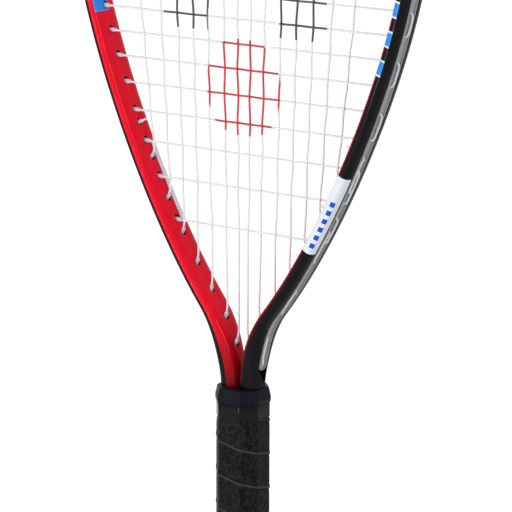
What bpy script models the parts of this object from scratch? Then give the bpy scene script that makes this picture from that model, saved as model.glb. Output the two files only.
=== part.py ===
# Racquetball racket standing on its butt: +Z towards the head, -Y the front, +X the right of a front view.
# The origin is the middle of the butt cap's end face. All lengths are in metres.
import math

import bmesh
import bpy
import mathutils
from mathutils import Vector

mm = 0.001
deg = math.pi / 180

# Overall sizes
racket_length = 558.8 * mm
head_width = 242.4 * mm
grip_length = 177.3 * mm

# Clearance between pieces that touch on the real racket
fit_gap = 0.3 * mm

# How far a cutter runs past what it cuts
cutter_overrun = 2.7 * mm

# Frame tube: its section in the head, in the throat and in the handle
tube_width = 8.4 * mm
tube_depth = 20.4 * mm
throat_width = 12.0 * mm
throat_depth = 15.0 * mm
shaft_width = 10.0 * mm
shaft_depth = 16.0 * mm
tube_wall = 0.9 * mm
tube_roundness = 2.7
tube_angles = [46 * deg, 68 * deg, 95 * deg, 128 * deg, 163 * deg]
cavity_angles = [84 * deg, 148 * deg]
shaft_bore_angles = [12 * deg, 40 * deg, 65 * deg, 90 * deg, 115 * deg, 140 * deg, 168 * deg]
station_turn = 10.5 * deg
station_step = 28.0 * mm
station_step_throat = 8.0 * mm
station_search = 1.0 * mm
station_clear = 4.0 * mm
shaft_spacing = 0.3 * mm
shaft_foot_height = 6.0 * mm

# Frame tube: the line that its middle follows, from the throat to the crown
flare_sink = 12.0 * mm
flare_height = 5.2 * mm
flare_steps = 6
rail_steps = 120
throat_blend_start = 2.0 * mm
throat_blend_end = 44.0 * mm
throat_handle = 13.7 * mm
bend_reach = 22.2 * mm
bend_height = 52.1 * mm
bend_lean = 38.2 * deg
bend_handle_below = 20.8 * mm
bend_handle_above = 73.4 * mm
crown_depth = 94.5 * mm
side_handle_below = 65.0 * mm
side_handle_above = 60.0 * mm
crown_handle = 80.0 * mm

# Channel along the outside of the hoop, which holds the strips and the outer loops of string
channel_width = 7.6 * mm
channel_depth = 2.9 * mm
channel_score = 0.12 * mm
channel_fade = 12.0 * mm

# Strings and their weave
string_diameter = 1.25 * mm
mains_per_side = 7
cross_count = 18
first_cross_height = 97.6 * mm
last_cross_margin = 25.8 * mm
foot_cross_spread = 0.8
crown_cross_spread = 0.3
cross_spread_decay = 0.62
crown_fan = 0.69
crown_fan_flare = 0.20
main_foot_heights = [26.6 * mm, 40.6 * mm, 55.4 * mm, 70.4 * mm, 87.4 * mm, 106.6 * mm, 129.8 * mm]
loop_offset = 1.6 * mm
loop_run = 2.6 * mm
knot_length = 0.7 * mm
knot_swell = 1.7
main_tie_after_cross = 3
low_tie_height = 114.2 * mm
top_tie_reach = 0.53

# Grommet strips, bumper guard and their barrels
strip_floor = 0.9 * mm
strip_rim = 1.1 * mm
strip_foot_height = 17.9 * mm
strip_last_cross = 14
bumper_wall = 1.8 * mm
bumper_wing = 1.3 * mm
bumper_width = 15.0 * mm
groove_width = 5.4 * mm
barrel_wall = 0.55 * mm
barrel_stand = 4.0 * mm
barrel_sides = 5
steepest_main_lean = 42 * deg
least_main_lean = 18 * deg
most_cross_lean = 30 * deg

# Handle: pallets, grip wrap, collar, butt cap and its screws
grip_width = 28.3 * mm
grip_depth = 26.1 * mm
grip_bevel = 6.85 * mm
wrap_thickness = 1.5 * mm
wrap_lip = 0.35 * mm
wrap_pitch = 20.3 * mm
wrap_start_corner = 4
wrap_lip_width = 1.5 * mm
wrap_seam = 0.5 * mm
wrap_least_width = 2.0 * mm
tape_height = 7.7 * mm
tape_thickness = 0.5 * mm
tape_proud = 0.35 * mm
collar_height = 10.8 * mm
collar_swell = 0.8 * mm
collar_taper = 0.75 * mm
collar_straight = 4.2 * mm
collar_edge = 1.2 * mm
collar_ease = 0.45 * mm
collar_roundness = 4.0
collar_hole_sides = 20
cap_height = 24.0 * mm
cap_flare = 3.4 * mm
cap_flare_height = 7.0 * mm
cap_edge = 1.5 * mm
cap_collar = 3.0 * mm
cap_end_wall = 3.0 * mm
cord_hole_diameter = 6.5 * mm
cord_hole_sides = 20
screw_offset = 9.4 * mm
screw_shank = 2.4 * mm
screw_head = 4.6 * mm
screw_head_height = 1.4 * mm
screw_length = 12.0 * mm
screw_point = 1.2 * mm
screw_tip = 0.8 * mm

# Heights and half sizes that follow from them
string_radius = string_diameter / 2
channel_half = channel_width / 2
strip_half = channel_half - fit_gap
groove_half = groove_width / 2
bore_apothem = string_radius + fit_gap
barrel_apothem = bore_apothem + barrel_wall
hole_apothem = barrel_apothem + fit_gap
weave_offset = string_radius + fit_gap / 2
collar_base = grip_length - collar_height
flare_base = grip_length - flare_sink
throat_base = flare_base + flare_height
crown_top = racket_length - tube_width / 2 - fit_gap - bumper_wall
widest_height = crown_top - crown_depth
hoop_half = head_width / 2 - tube_width / 2
wrap_base = cap_height + fit_gap
tape_base = collar_base - fit_gap - tape_height
pallet_base = cap_end_wall + fit_gap

scene_collection = bpy.context.scene.collection


def clear_scene():
    for item in list(bpy.data.objects):
        bpy.data.objects.remove(item)


def make_material(name, colour, roughness, metallic=0.0):
    material = bpy.data.materials.new(name)
    material.use_nodes = True
    shader = material.node_tree.nodes["Principled BSDF"]
    shader.inputs["Base Color"].default_value = (*colour, 1.0)
    shader.inputs["Roughness"].default_value = roughness
    shader.inputs["Metallic"].default_value = metallic
    material.diffuse_color = (*colour, 1.0)
    return material


def smooth_step(value):
    value = min(max(value, 0.0), 1.0)
    return value * value * (3 - 2 * value)


def mix(low, high, share):
    return low + (high - low) * share


# A superellipse: its half width at a distance across, and its point at an angle
def super_reach(half_width, half_depth, across):
    return half_width * (1 - (abs(across) / half_depth) ** tube_roundness) ** (1 / tube_roundness)


def super_point(half_width, half_depth, angle):
    power = 2 / tube_roundness
    c, s = math.cos(angle), math.sin(angle)
    return (math.copysign(abs(c) ** power, c) * half_width, abs(s) ** power * half_depth)


# The middle line of the tube's right half, in X and Z, with the length along it
def bezier_points(start, start_handle, end_handle, end):
    points = []
    for step in range(1, rail_steps + 1):
        t = step / rail_steps
        s = 1 - t
        points.append(start * s**3 + start_handle * 3 * s * s * t + end_handle * 3 * s * t * t + end * t**3)
    return points


def make_rail():
    shaft_x = (shaft_width + shaft_spacing) / 2
    throat_x = (throat_width + shaft_spacing) / 2
    throat = Vector((throat_x, throat_base))
    bend = Vector((bend_reach, throat_base + bend_height))
    lean = Vector((math.sin(bend_lean), math.cos(bend_lean)))
    widest = Vector((hoop_half, widest_height))
    crown = Vector((0.0, crown_top))
    rail = [Vector((shaft_x, shaft_foot_height))]
    for step in range(flare_steps + 1):
        share = step / flare_steps
        reach = mix(shaft_x, throat_x, smooth_step(share))
        rail.append(Vector((reach, mix(flare_base, throat_base, share))))
    up = Vector((0.0, 1.0))
    rail += bezier_points(throat, throat + up * throat_handle, bend - lean * bend_handle_below, bend)
    rail += bezier_points(bend, bend + lean * bend_handle_above, widest - up * side_handle_below, widest)
    rail += bezier_points(widest, widest + up * side_handle_above, crown + Vector((crown_handle, 0)), crown)
    lengths = [0.0]
    for before, after in zip(rail, rail[1:]):
        lengths.append(lengths[-1] + (after - before).length)
    return rail, lengths


rail, rail_lengths = make_rail()
rail_length = rail_lengths[-1]


def between(keys, value):
    low, high = 0, len(keys) - 1
    while high - low > 1:
        middle = (low + high) // 2
        if keys[middle] <= value:
            low = middle
        else:
            high = middle
    return low, (value - keys[low]) / (keys[high] - keys[low])


# Length along the right half at a height on its side, and at a reach from the middle on the crown
def length_at_height(height):
    index, share = between([point.y for point in rail], height)
    return mix(rail_lengths[index], rail_lengths[index + 1], share)


def length_at_reach(reach):
    top = [(-point.x, length) for point, length in zip(rail, rail_lengths) if point.y >= widest_height]
    index, share = between([key for key, _ in top], -reach)
    return mix(top[index][1], top[index + 1][1], share)


# A station on the whole hoop: its length runs up the right half, over the crown and down the left half
class Station:
    def __init__(self, length):
        self.length = length
        side = 1 if length <= rail_length else -1
        along = length if side > 0 else 2 * rail_length - length
        index, share = between(rail_lengths, along)
        point = rail[index].lerp(rail[index + 1], share)
        before = rail[max(index - 1, 0)]
        after = rail[min(index + 2, len(rail) - 1)]
        tangent = (rail[index + 1] - rail[index]).lerp(after - before, 0.5).normalized()
        if length == rail_length:
            tangent = Vector((-1.0, 0.0))
        self.point = Vector((side * point.x, 0.0, point.y))
        self.outward = Vector((side * tangent.y, 0.0, -tangent.x))
        self.height = point.y
        if self.height < throat_base:
            share = smooth_step((self.height - flare_base) / flare_height)
            self.half_width = mix(shaft_width, throat_width, share) / 2
            self.half_depth = mix(shaft_depth, throat_depth, share) / 2
        else:
            rise = self.height - throat_base
            share = smooth_step((rise - throat_blend_start) / (throat_blend_end - throat_blend_start))
            self.half_width = mix(throat_width, tube_width, share) / 2
            self.half_depth = mix(throat_depth, tube_depth, share) / 2
        strip_rise = self.height - (throat_base + strip_foot_height)
        share = smooth_step(1 + (strip_rise - fit_gap) / channel_fade)
        self.channel = mix(channel_score, channel_depth, share)

    def at(self, out, across):
        return self.point + self.outward * out + Vector((0, across, 0))

    def surface(self, across):
        return super_reach(self.half_width, self.half_depth, across)

    def floor(self):
        return self.surface(channel_half) - self.channel

    # How far out the middle of a string lies in the channel
    def lie(self):
        return self.floor() + fit_gap + strip_floor + fit_gap + string_radius


def on_left(length):
    return 2 * rail_length - length


# Lengths of the whole hoop's rings: each step turns little, and they are closer where the section changes.
# The ends of the strips have rings of their own.
def hoop_lengths(strip_ends):
    chosen = [0.0]
    last = Station(0.0)
    length = length_at_height(flare_base)
    while length < rail_length - station_clear:
        here = Station(length)
        changing = here.height < throat_base + throat_blend_end
        longest = station_step_throat if changing else station_step
        if here.outward.angle(last.outward) > station_turn or length - chosen[-1] > longest:
            if all(abs(length - end) > station_clear for end in strip_ends):
                chosen.append(length)
                last = here
        length += station_search
    right = sorted(chosen + list(strip_ends))
    return right + [rail_length] + [on_left(value) for value in reversed(right)]


def mirrored_outline(half):
    return [(out, -across) for out, across in half] + [(out, across) for out, across in reversed(half)]


def tube_outline(station):
    half = [(station.floor(), channel_half), (station.surface(channel_half), channel_half)]
    half += [super_point(station.half_width, station.half_depth, angle) for angle in tube_angles]
    return mirrored_outline(half)


def cavity_outline(station):
    inner_width = station.half_width - tube_wall
    inner_depth = station.half_depth - tube_wall
    notch = channel_half + tube_wall
    lip = super_reach(inner_width, inner_depth, notch)
    half = [(min(station.floor() - tube_wall, lip - channel_score), notch), (lip, notch)]
    half += [super_point(inner_width, inner_depth, angle) for angle in cavity_angles]
    return mirrored_outline(half)


def strip_outline(station):
    low = station.floor() + fit_gap
    high = low + strip_floor + strip_rim
    half = [(low, strip_half), (high, strip_half), (high, groove_half), (low + strip_floor, groove_half)]
    return mirrored_outline(half)


def bumper_outline(station):
    low = station.floor() + fit_gap
    wing = bumper_width / 2
    top = station.half_width + fit_gap + bumper_wall
    half = [(low, strip_half), (station.surface(channel_half) + fit_gap, strip_half),
            (station.surface(wing) + fit_gap, wing), (station.surface(wing) + fit_gap + bumper_wing, wing),
            (top, channel_half + bumper_wing), (top, groove_half), (low + strip_floor, groove_half)]
    return mirrored_outline(half)


def object_from(name, geometry, material=None):
    bmesh.ops.connect_verts_nonplanar(geometry, angle_limit=0.001 * deg, faces=geometry.faces)
    bmesh.ops.recalc_face_normals(geometry, faces=geometry.faces)
    mesh = bpy.data.meshes.new(name)
    geometry.to_mesh(mesh)
    geometry.free()
    if material:
        mesh.materials.append(material)
    item = bpy.data.objects.new(name, mesh)
    scene_collection.objects.link(item)
    return item


def add_rings(geometry, rings):
    rows = [[geometry.verts.new(point) for point in ring] for ring in rings]
    for before, after in zip(rows, rows[1:]):
        for k in range(len(before)):
            following = (k + 1) % len(before)
            geometry.faces.new((before[k], before[following], after[following], after[k]))
    geometry.faces.new(rows[0])
    geometry.faces.new(rows[-1])


def sweep(name, stations, outline, material=None):
    geometry = bmesh.new()
    add_rings(geometry, [[station.at(*pair) for pair in outline(station)] for station in stations])
    return object_from(name, geometry, material)


# A prism round a hole's axis; its outer end is level with the strip, out from the tube's middle
def prism_rings(hole, out, reach, apothem):
    up = Vector((0, 1, 0))
    aside = hole.way.cross(up).normalized()
    radius = apothem / math.cos(math.pi / barrel_sides)
    outer, inner = [], []
    for k in range(barrel_sides):
        angle = 2 * math.pi * k / barrel_sides
        spoke = (up * math.cos(angle) + aside * math.sin(angle)) * radius
        level = (out - spoke.dot(hole.station.outward)) * hole.slant
        outer.append(hole.along(-level) + spoke)
        inner.append(hole.along(reach) + spoke)
    return outer, inner


# A tool made of many prisms may have some that cross each other
def cut(target, tool, operation="DIFFERENCE", prisms_cross=False):
    modifier = target.modifiers.new(tool.name, "BOOLEAN")
    modifier.operation = operation
    modifier.solver = "EXACT"
    modifier.use_self = prisms_cross
    modifier.object = tool
    tool.hide_render = True
    tool.display_type = "WIRE"
    tool.hide_viewport = True


# One string hole: a station, and the way that its barrel points into the head
class Hole:
    def __init__(self, length, aim, most_lean):
        self.station = Station(length)
        inward = -self.station.outward
        lean = inward.angle(aim)
        if lean > most_lean:
            aside = aim - inward * aim.dot(inward)
            aim = inward * math.cos(most_lean) + aside.normalized() * math.sin(most_lean)
            lean = most_lean
        self.way = aim.normalized()
        self.slant = 1 / math.cos(lean)
        self.reach = (self.station.half_width * self.slant) + barrel_stand

    def along(self, distance):
        return self.station.point + self.way * distance

    def tip(self):
        return self.along(self.reach + string_radius)

    def outside(self):
        return self.along(-self.station.lie() * self.slant)


def add_holes(name, holes, apothem, past_inside, past_outside):
    geometry = bmesh.new()
    for hole in holes:
        out = hole.station.floor() + fit_gap + strip_floor / 2 + past_outside
        add_rings(geometry, prism_rings(hole, out, hole.reach + past_inside, apothem))
    return object_from(name, geometry)


# String pattern: heights of the crosses, and both ends of every main and cross
def cross_heights():
    last = cross_count - 2
    gaps = []
    for k in range(cross_count - 1):
        at_foot = foot_cross_spread * cross_spread_decay**k
        at_crown = crown_cross_spread * cross_spread_decay**(last - k)
        gaps.append(1 + at_foot + at_crown)
    first = throat_base + first_cross_height
    unit = (racket_length - last_cross_margin - first) / sum(gaps)
    heights = [first]
    for gap in gaps:
        heights.append(heights[-1] + gap * unit)
    return heights


def make_mains():
    mains = []
    for order in range(mains_per_side):
        place = (order + 0.5) / mains_per_side
        reach = hoop_half * place * (crown_fan + crown_fan_flare * place**5)
        lean = mix(steepest_main_lean, least_main_lean, order / (mains_per_side - 1))
        foot_length = length_at_height(throat_base + main_foot_heights[order])
        crown_length = length_at_reach(reach)
        for side in (-1, 1):
            low, high = foot_length, crown_length
            if side < 0:
                low, high = on_left(low), on_left(high)
            run = (Station(high).point - Station(low).point).normalized()
            mains.append((side * (order + 1), Hole(low, run, lean), Hole(high, -run, most_cross_lean)))
    return sorted(mains, key=lambda main: main[0])


def make_crosses():
    crosses = []
    for height in cross_heights():
        length = length_at_height(height)
        left = Hole(on_left(length), Vector((1, 0, 0)), most_cross_lean)
        right = Hole(length, Vector((-1, 0, 0)), most_cross_lean)
        crosses.append((left, right))
    return crosses


def point_at_height(start, end, height):
    return start.lerp(end, (height - start.z) / (end.z - start.z))


def crossings(mains, crosses):
    found = []
    for column, (_, low, high) in enumerate(mains):
        for row, (left, right) in enumerate(crosses):
            start, end = left.tip(), right.tip()
            foot, top = low.tip(), high.tip()
            height = mix(start.z, end.z, 0.5)
            if not foot.z + string_diameter < height < top.z - string_diameter:
                continue
            spot = point_at_height(foot, top, height)
            if start.x + string_diameter < spot.x < end.x - string_diameter:
                found.append((column, row, spot))
    return found


# The outside loop of a string from one hole to the next, in the channel, level with the strip's rings
def outer_loop(first, second, offset, lengths):
    start, end = first.station.length, second.station.length
    toward = 1 if end > start else -1
    low, high = min(start, end) + loop_run, max(start, end) - loop_run
    passed = [value for value in lengths if low + loop_run < value < high - loop_run]
    middle = [Station(value) for value in [low] + passed + [high]][::toward]
    return [first.outside()] + [here.at(here.lie(), offset) for here in middle] + [second.outside()]


def weave_runs(mains, crosses):
    main_spots = {column: [] for column in range(len(mains))}
    cross_spots = {row: [] for row in range(len(crosses))}
    for column, row, spot in crossings(mains, crosses):
        over = 1 if (column + row) % 2 == 0 else -1
        main_spots[column].append(spot + Vector((0, over * weave_offset, 0)))
        cross_spots[row].append(spot - Vector((0, over * weave_offset, 0)))
    return main_spots, cross_spots


def tied_end(tie, hole, offset, lengths):
    loop = outer_loop(tie, hole, offset, lengths)
    knot = [tie.along(tie.reach + knot_length * share) for share in (2.0, 1.2, 0.4)]
    return knot, loop


def string_points(runs, spots, offset, first_tie, last_tie, lengths):
    points = []
    for order, (start, end) in enumerate(runs):
        if order == 0:
            knot, loop = tied_end(first_tie, start, offset, lengths)
            points += knot + [first_tie.along(0)] + loop
        else:
            points += outer_loop(runs[order - 1][1], start, offset, lengths)
        points += [start.tip()] + spots[order] + [end.tip()]
    knot, loop = tied_end(last_tie, runs[-1][1], offset, lengths)
    points += list(reversed(knot + [last_tie.along(0)] + loop))
    return points


# Least gap between two stretches of one string that do not follow each other
def least_gap(points):
    least = racket_length
    lengths = [0.0]
    for before, after in zip(points, points[1:]):
        lengths.append(lengths[-1] + (after - before).length)
    for index in range(len(points) - 1):
        middle = points[index].lerp(points[index + 1], 0.5)
        for other in range(index + 1, len(points) - 1):
            if lengths[other] - lengths[index + 1] < 3 * string_diameter:
                continue
            start, end = points[other], points[other + 1]
            _, share = mathutils.geometry.intersect_point_line(middle, start, end)
            least = min(least, (middle - start.lerp(end, min(max(share, 0.0), 1.0))).length)
    return least - string_diameter


def make_string(name, points, material):
    curve = bpy.data.curves.new(name, "CURVE")
    curve.dimensions = "3D"
    curve.bevel_depth = string_radius
    curve.bevel_resolution = 0
    curve.use_fill_caps = True
    spline = curve.splines.new("POLY")
    spline.points.add(len(points) - 1)
    for target, point in zip(spline.points, points):
        target.co = (*point, 1.0)
    for index in (0, 1, -1, -2):
        spline.points[index].radius = knot_swell
    curve.materials.append(material)
    item = bpy.data.objects.new(name, curve)
    scene_collection.objects.link(item)
    print(name, "least gap to itself, mm", round(least_gap(points) / mm, 2))
    return item


def octagon(half_x, half_y, bevel, height):
    corners = [(half_x, half_y - bevel), (half_x - bevel, half_y)]
    corners += [(-x, y) for x, y in reversed(corners)]
    corners += [(-x, -y) for x, y in corners]
    return [Vector((x, y, height)) for x, y in corners]


# The handle's eight-sided outline, moved outwards by a distance
def handle_ring(swell, height=0.0):
    bevel = grip_bevel + swell * (2 - math.sqrt(2))
    return octagon(grip_width / 2 + swell, grip_depth / 2 + swell, bevel, height)


def loft(name, rings, material=None):
    geometry = bmesh.new()
    add_rings(geometry, rings)
    return object_from(name, geometry, material)


# A round piece or hole, upright, whose steps are (height, radius), at a distance behind the middle
def turned(name, steps, y, sides=12, material=None):
    turns = [2 * math.pi * (k + 0.5) / sides for k in range(sides)]
    rings = [[Vector((radius * math.cos(turn), y + radius * math.sin(turn), height)) for turn in turns]
             for height, radius in steps]
    return loft(name, rings, material)


def shaft_clearance(name, side):
    half_x = shaft_width / 2 + fit_gap
    half_y = shaft_depth / 2 + fit_gap
    middle = side * (shaft_width + shaft_spacing) / 2
    half = [super_point(half_x, half_y, angle) for angle in shaft_bore_angles]
    outline = mirrored_outline(half)
    rings = [[Vector((middle + out, across, z)) for out, across in outline] for z in (0.0, grip_length)]
    return loft(name, rings)


def make_frame(holes, lengths, material):
    whole = [Station(length) for length in lengths]
    frame = sweep("frame", whole, tube_outline, material)
    cavity = bmesh.new()
    rings = [[station.at(*pair) for pair in cavity_outline(station)] for station in whole]
    drop = Vector((0, 0, cutter_overrun))
    rings[0] = [point - drop for point in rings[0]]
    rings[-1] = [point - drop for point in rings[-1]]
    add_rings(cavity, rings)
    cut(frame, object_from("frame_cavity", cavity))
    string_holes = add_holes("string_holes", holes, hole_apothem, cutter_overrun, cutter_overrun)
    cut(frame, string_holes, prisms_cross=True)
    return frame


def make_strip(name, stations, outline, holes, material):
    strip = sweep(name, stations, outline, material)
    barrels = add_holes(name + "_barrels", holes, barrel_apothem, 0.0, 0.0)
    cut(strip, barrels, "UNION", prisms_cross=True)
    bores = add_holes(name + "_bores", holes, bore_apothem, cutter_overrun, cutter_overrun)
    cut(strip, bores, prisms_cross=True)
    return strip


# Length on the right side halfway between the holes of a cross, counted from the foot, and the next one
def length_after_cross(crosses, number):
    before, after = crosses[number - 1][1], crosses[number][1]
    return mix(before.station.length, after.station.length, 0.5)


# Lengths where the right strip ends: its foot, and halfway between two cross holes, where the guard starts
def find_strip_ends(crosses):
    foot = length_at_height(throat_base + strip_foot_height)
    return foot, length_after_cross(crosses, strip_last_cross)


def make_strips(holes, strip_ends, lengths, strip_material, bumper_material):
    foot, join = strip_ends
    spans = (("right_grommet_strip", foot, join, strip_outline, strip_material),
             ("bumper_guard", join, on_left(join), bumper_outline, bumper_material),
             ("left_grommet_strip", on_left(join), on_left(foot), strip_outline, strip_material))
    for name, low, high, outline, material in spans:
        inner = [value for value in lengths if low + station_clear / 2 < value < high - station_clear / 2]
        stations = [Station(value) for value in [low + fit_gap / 2] + inner + [high - fit_gap / 2]]
        mine = [hole for hole in holes if low < hole.station.length < high]
        make_strip(name, stations, outline, mine, material)


def make_strings(mains, crosses, ties, lengths, material):
    main_spots, cross_spots = weave_runs(mains, crosses)
    main_runs, main_turns = [], []
    for column, (_, low, high) in enumerate(mains):
        upward = column % 2 == 0
        main_runs.append((low, high) if upward else (high, low))
        main_turns.append(main_spots[column] if upward else list(reversed(main_spots[column])))
    cross_runs, cross_turns = [], []
    for row, (left, right) in enumerate(crosses):
        rightward = row % 2 == 1
        cross_runs.append((left, right) if rightward else (right, left))
        cross_turns.append(cross_spots[row] if rightward else list(reversed(cross_spots[row])))
    main_ends, cross_ends = (ties["main_left"], ties["main_right"]), (ties["cross_low"], ties["cross_top"])
    main_points = string_points(main_runs, main_turns, -loop_offset, *main_ends, lengths)
    cross_points = string_points(cross_runs, cross_turns, loop_offset, *cross_ends, lengths)
    make_string("main_string", main_points, material)
    make_string("cross_string", cross_points, material)


def make_ties(crosses):
    straight_in = 0.0
    main_length = length_after_cross(crosses, main_tie_after_cross)
    low_length = length_at_height(throat_base + low_tie_height)
    top_length = length_at_reach(top_tie_reach * hoop_half)
    places = {"main_left": on_left(main_length), "main_right": main_length,
              "cross_low": low_length, "cross_top": top_length}
    return {name: Hole(length, -Station(length).outward, straight_in) for name, length in places.items()}


def make_pallets(material):
    for name, side in (("front_pallet", -1), ("back_pallet", 1)):
        rings = []
        for height in (pallet_base, flare_base - fit_gap):
            whole = handle_ring(-wrap_thickness - fit_gap, height)
            half = [point for point in whole if point.y * side > 0]
            edge = side * fit_gap / 2
            ends = [Vector((half[-1].x, edge, height)), Vector((half[0].x, edge, height))]
            rings.append(half + ends)
        pallet = loft(name, rings, material)
        for shaft_side, label in ((-1, "left"), (1, "right")):
            cut(pallet, shaft_clearance(name + "_" + label + "_bore", shaft_side))
        pilot_radius = screw_shank / 2 + fit_gap
        steps = [(0.0, pilot_radius), (screw_length + 2 * fit_gap, pilot_radius)]
        cut(pallet, turned(name + "_pilot", steps, side * screw_offset))


# The wrap is one ribbon wound up the handle, clockwise seen from above, with a raised lower edge; its ends
# are cut level
def make_wrap(material):
    low_limit, high_limit = wrap_base, collar_base - fit_gap
    low_ring = handle_ring(-wrap_thickness)
    face_ring = handle_ring(0.0)
    lip_ring = handle_ring(wrap_lip)
    corner_count = len(face_ring)
    turns = (high_limit - low_limit) / wrap_pitch + 1
    rings = []
    for step in range(int(turns * corner_count) + 1):
        rise = low_limit + wrap_pitch * step / corner_count
        low = min(max(rise - wrap_pitch, low_limit), high_limit)
        high = min(rise - wrap_seam, high_limit)
        if high - low < wrap_least_width:
            continue
        corner = (wrap_start_corner - step) % corner_count
        up = Vector((0, 0, 1))
        shoulder = low + min(wrap_lip_width, (high - low) / 2)
        inner, face, lip = low_ring[corner], face_ring[corner], lip_ring[corner]
        rings.append([inner + up * low, lip + up * low, face + up * shoulder, face + up * high, inner + up * high])
    gaps = [(after[0] - before[-1]).z for before, after in zip(rings, rings[corner_count:])]
    print("grip_wrap least gap to itself, mm", round(min(gaps) / mm, 2))
    wrap = loft("grip_wrap", rings, material)
    under_tape = tape_proud - tape_thickness - fit_gap
    cut(wrap, sleeve("wrap_under_tape", under_tape, cap_flare, tape_base - fit_gap, grip_length))


# A straight eight-sided sleeve round the handle, between two distances from its outline
def sleeve(name, inner_swell, outer_swell, low, high, material=None):
    body = loft(name, [handle_ring(outer_swell, height) for height in (low, high)], material)
    ends = (low - cutter_overrun, high + cutter_overrun)
    cut(body, loft(name + "_inside", [handle_ring(inner_swell, height) for height in ends]))
    return body


# The tape that holds down the wrap's upper end; the wrap is pressed thinner under it
def make_tape(material):
    sleeve("finishing_tape", tape_proud - tape_thickness, tape_proud, tape_base, collar_base - fit_gap, material)


def make_collar(material):
    low, high = collar_base, grip_length
    steps = [(low, collar_swell), (low + collar_straight, collar_swell),
             (high - collar_edge, collar_swell - collar_taper), (high, collar_swell - 2 * collar_taper)]
    collar = loft("grip_collar", [handle_ring(swell, height) for height, swell in steps], material)
    hole_x = max(shaft_width, throat_width) + shaft_spacing / 2 + fit_gap
    hole_y = max(shaft_depth, throat_depth) / 2 + collar_ease
    power = 2 / collar_roundness
    outline = []
    for k in range(collar_hole_sides):
        angle = 2 * math.pi * (k + 0.5) / collar_hole_sides
        c, s = math.cos(angle), math.sin(angle)
        x, y = abs(c) ** power * hole_x, abs(s) ** power * hole_y
        outline.append((math.copysign(x, c), math.copysign(y, s)))
    rings = [[Vector((x, y, z)) for x, y in outline] for z in (low - cutter_overrun, high + cutter_overrun)]
    cut(collar, loft("collar_hole", rings))


def make_cap(material):
    steps = [(0.0, cap_flare - cap_edge / 2), (cap_edge, cap_flare), (cap_flare_height, cap_flare),
             (cap_height - cap_collar, wrap_lip), (cap_height, wrap_lip)]
    cap = loft("butt_cap", [handle_ring(swell, height) for height, swell in steps], material)
    past = cutter_overrun
    room = [handle_ring(-wrap_thickness, height) for height in (cap_end_wall, cap_height + past)]
    cut(cap, loft("cap_room", room))
    cord_hole = cord_hole_diameter / 2
    steps = [(-past, cord_hole), (cap_end_wall + past, cord_hole)]
    cut(cap, turned("cord_hole", steps, 0.0, cord_hole_sides))
    shank, head = screw_shank / 2 + fit_gap, screw_head / 2 + fit_gap
    seat = screw_head_height + 2 * fit_gap
    for side, label in ((-1, "front"), (1, "back")):
        steps = [(-past, head), (seat, head), (seat, shank), (cap_end_wall + past, shank)]
        cut(cap, turned("cap_" + label + "_screw_hole", steps, side * screw_offset))


def make_screws(material):
    for side, name in ((-1, "front_cap_screw"), (1, "back_cap_screw")):
        seat = fit_gap + screw_head_height
        steps = [(fit_gap, screw_head / 2), (seat, screw_head / 2), (seat, screw_shank / 2),
                 (screw_length - screw_point, screw_shank / 2), (screw_length, screw_tip / 2)]
        turned(name, steps, side * screw_offset, material=material)


def main():
    clear_scene()
    frame_paint = make_material("frame_paint", (0.55, 0.01, 0.02), 0.25)
    strip_plastic = make_material("strip_plastic", (0.30, 0.31, 0.33), 0.45)
    bumper_plastic = make_material("bumper_plastic", (0.02, 0.02, 0.022), 0.5)
    nylon = make_material("string_nylon", (0.85, 0.85, 0.83), 0.35)
    pallet_plastic = make_material("pallet_plastic", (0.06, 0.06, 0.06), 0.6)
    rubber = make_material("grip_rubber", (0.018, 0.018, 0.02), 0.6)
    tape_vinyl = make_material("tape_vinyl", (0.015, 0.015, 0.018), 0.35)
    collar_rubber = make_material("collar_rubber", (0.02, 0.02, 0.024), 0.5)
    cap_plastic = make_material("cap_plastic", (0.02, 0.02, 0.02), 0.4)
    steel = make_material("screw_steel", (0.6, 0.6, 0.6), 0.3, 1.0)
    mains = make_mains()
    crosses = make_crosses()
    ties = make_ties(crosses)
    holes = [hole for _, low, high in mains for hole in (low, high)]
    holes += [hole for pair in crosses for hole in pair] + list(ties.values())
    strip_ends = find_strip_ends(crosses)
    lengths = hoop_lengths(strip_ends)
    make_frame(holes, lengths, frame_paint)
    make_strips(holes, strip_ends, lengths, strip_plastic, bumper_plastic)
    make_strings(mains, crosses, ties, lengths, nylon)
    make_pallets(pallet_plastic)
    make_wrap(rubber)
    make_tape(tape_vinyl)
    make_collar(collar_rubber)
    make_cap(cap_plastic)
    make_screws(steel)


main()
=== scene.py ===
# The looks of a racquetball racket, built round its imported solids. It stands on its butt and faces -Y.
import math

import bpy
from mathutils import Matrix, Vector


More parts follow.
